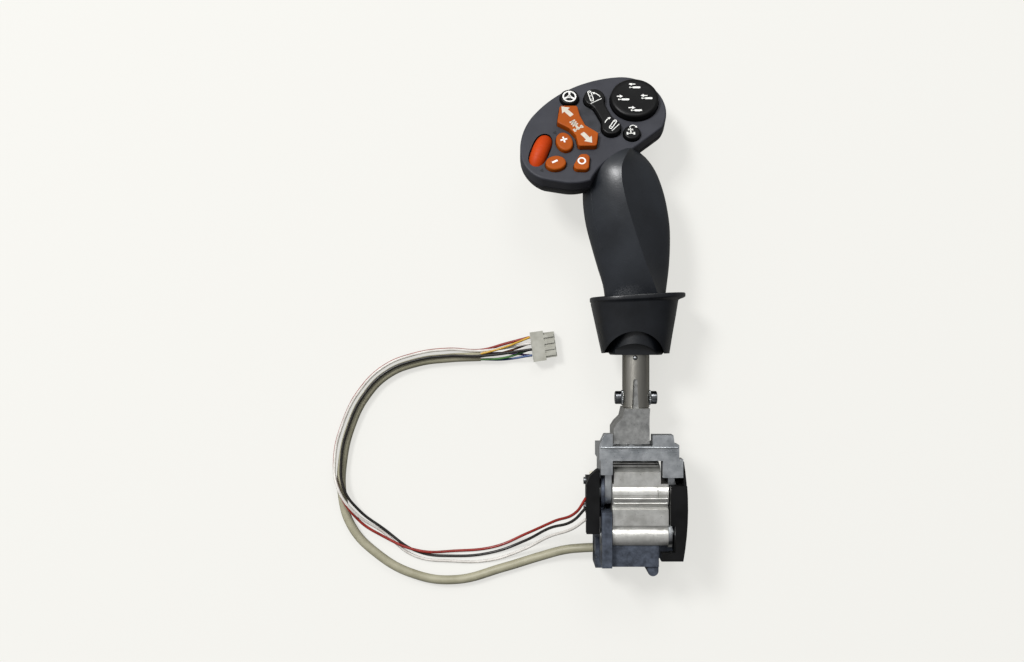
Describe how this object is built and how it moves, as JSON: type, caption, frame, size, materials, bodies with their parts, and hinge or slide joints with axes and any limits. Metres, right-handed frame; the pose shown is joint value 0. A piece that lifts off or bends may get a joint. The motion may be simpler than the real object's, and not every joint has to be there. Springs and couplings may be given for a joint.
{
  "type": "industrial joystick",
  "caption": "Two-axis hand lever with a tilted key head, sculpted grip, hand rest, steel stem and a die-cast pivot base with a loose lead.",
  "frame": {"origin": "centre of the four mounting holes, on the back face of the base, which lies on the bench", "axes": "+Z points from the base's back face to its front, +Y runs along the lever to the head, +X is the operator's right"},
  "size_m": [0.2387, 0.3452, 0.061],
  "materials": {
    "base": "grey passivated die casting",
    "block": "shot-blasted die-cast aluminium",
    "steel": "ground steel",
    "black_plastic": "textured black plastic",
    "gland": "black rubber",
    "plunger": "ivory acetal",
    "saddle": "die-cast aluminium",
    "bronze": "sintered bronze",
    "stem": "blasted steel casting",
    "tube": "satin drawn steel tube",
    "screw": "blackened steel",
    "rest": "textured moulded plastic",
    "grip": "textured moulded plastic",
    "panel": "textured moulded plastic",
    "lens": "smooth grey plastic",
    "board": "circuit board",
    "mat": "silicone key mat",
    "key_black": "satin black plastic",
    "key_orange": "orange plastic",
    "roller": "red-orange plastic",
    "sheath": "khaki-grey PVC sheath",
    "wire_red": "red PVC",
    "wire_black": "black PVC",
    "wire_white": "white PVC",
    "wires_mixed": "coloured PVC",
    "connector": "pale grey nylon",
    "contact": "tinned brass"
  },
  "bodies": {
    "base": {"base_casting": "base", "pivot_block": "block", "tilt_axle": "steel", "lower_axle": "steel", "axle_clips": "steel", "sensor_cover": "black_plastic", "sensor_screws": "steel", "switch_body": "black_plastic", "switch_cover": "black_plastic", "switch_screws": "steel", "cable_gland": "gland", "main_cable": "sheath", "red_wire": "wire_red", "black_wire": "wire_black", "white_wire": "wire_white", "fan_out_wires": "wires_mixed", "connector_housing": "connector", "connector_contacts": "contact"},
    "saddle": {"saddle_frame": "saddle", "axle_bushes": "bronze", "side_tilt_pin": "steel"},
    "lever": {"fork_stem": "stem", "stem_tube": "tube", "tube_pin": "steel", "clamp_screws": "screw", "clamp_washers": "steel", "collar_sleeve": "rest", "hand_rest": "rest", "grip_front_shell": "grip", "grip_rear_shell": "grip", "grip_screws": "screw", "head_top_shell": "panel", "head_back_shell": "panel", "head_screws": "screw", "key_board": "board", "key_mat": "mat", "status_lens": "lens", "pad_bracket": "black_plastic", "linkage_pin": "steel", "direction_pin": "steel", "roller_pin": "steel", "roller_bracket": "black_plastic"},
    "pad_gimbal": {"pad_ring": "steel"},
    "pad": {"four_way_pad": "key_black"},
    "steering_key": {"steering_button": "key_black"},
    "linkage_key": {"linkage_rocker": "key_black"},
    "headland_key": {"headland_button": "key_black"},
    "direction_key": {"direction_rocker": "key_orange"},
    "plus_key": {"plus_button": "key_orange"},
    "minus_key": {"minus_button": "key_orange"},
    "ring_key": {"ring_button": "key_orange"},
    "roller": {"thumb_roller": "roller"},
    "plunger": {"switch_plunger": "plunger"}
  },
  "joints": [
    {"name": "fore_aft_tilt", "type": "hinge", "parent": "base", "child": "saddle", "pos_m": [0, 0.029, 0.034], "axis": [1, 0, 0], "range_deg": [-12, 12], "stiffness_Nm_per_rad": 12},
    {"name": "side_tilt", "type": "hinge", "parent": "saddle", "child": "lever", "pos_m": [-0.0047, 0.058, 0.032], "axis": [0, 0, 1], "range_deg": [-4, 4], "stiffness_Nm_per_rad": 16},
    {"name": "pad_up_down", "type": "hinge", "parent": "lever", "child": "pad_gimbal", "pos_m": [-0.0011, 0.28513, 0.02736], "axis": [1, 0, 0], "range_deg": [-3.5, 3.5], "stiffness_Nm_per_rad": 0.25},
    {"name": "pad_left_right", "type": "hinge", "parent": "pad_gimbal", "child": "pad", "pos_m": [-0.0011, 0.28513, 0.02736], "axis": [0, 0.891, -0.454], "range_deg": [-3.5, 3.5], "stiffness_Nm_per_rad": 0.25},
    {"name": "linkage_tip", "type": "hinge", "parent": "lever", "child": "linkage_key", "pos_m": [-0.0225, 0.27542, 0.03231], "axis": [0.9163, 0.3568, -0.1818], "range_deg": [-4, 4], "stiffness_Nm_per_rad": 0.2},
    {"name": "direction_tip", "type": "hinge", "parent": "lever", "child": "direction_key", "pos_m": [-0.04, 0.26517, 0.03753], "axis": [0.848, 0.4722, -0.2406], "range_deg": [-4, 4], "stiffness_Nm_per_rad": 0.2},
    {"name": "roller_turn", "type": "hinge", "parent": "lever", "child": "roller", "pos_m": [-0.0638, 0.24589, 0.03669], "axis": [0.9455, -0.2901, 0.1478], "range_deg": [-5, 5], "stiffness_Nm_per_rad": 0.1},
    {"name": "steering_press", "type": "slide", "parent": "lever", "child": "steering_key", "axis": [0, -0.454, -0.891], "range_m": [0, 0.0015], "stiffness_N_per_m": 900},
    {"name": "headland_press", "type": "slide", "parent": "lever", "child": "headland_key", "axis": [0, -0.454, -0.891], "range_m": [0, 0.0015], "stiffness_N_per_m": 900},
    {"name": "plus_press", "type": "slide", "parent": "lever", "child": "plus_key", "axis": [0, -0.454, -0.891], "range_m": [0, 0.0015], "stiffness_N_per_m": 900},
    {"name": "minus_press", "type": "slide", "parent": "lever", "child": "minus_key", "axis": [0, -0.454, -0.891], "range_m": [0, 0.0015], "stiffness_N_per_m": 900},
    {"name": "ring_press", "type": "slide", "parent": "lever", "child": "ring_key", "axis": [0, -0.454, -0.891], "range_m": [0, 0.0015], "stiffness_N_per_m": 900},
    {"name": "plunger_press", "type": "slide", "parent": "base", "child": "plunger", "axis": [0, -1, 0], "range_m": [0, 0.0012], "stiffness_N_per_m": 500}
  ]
}
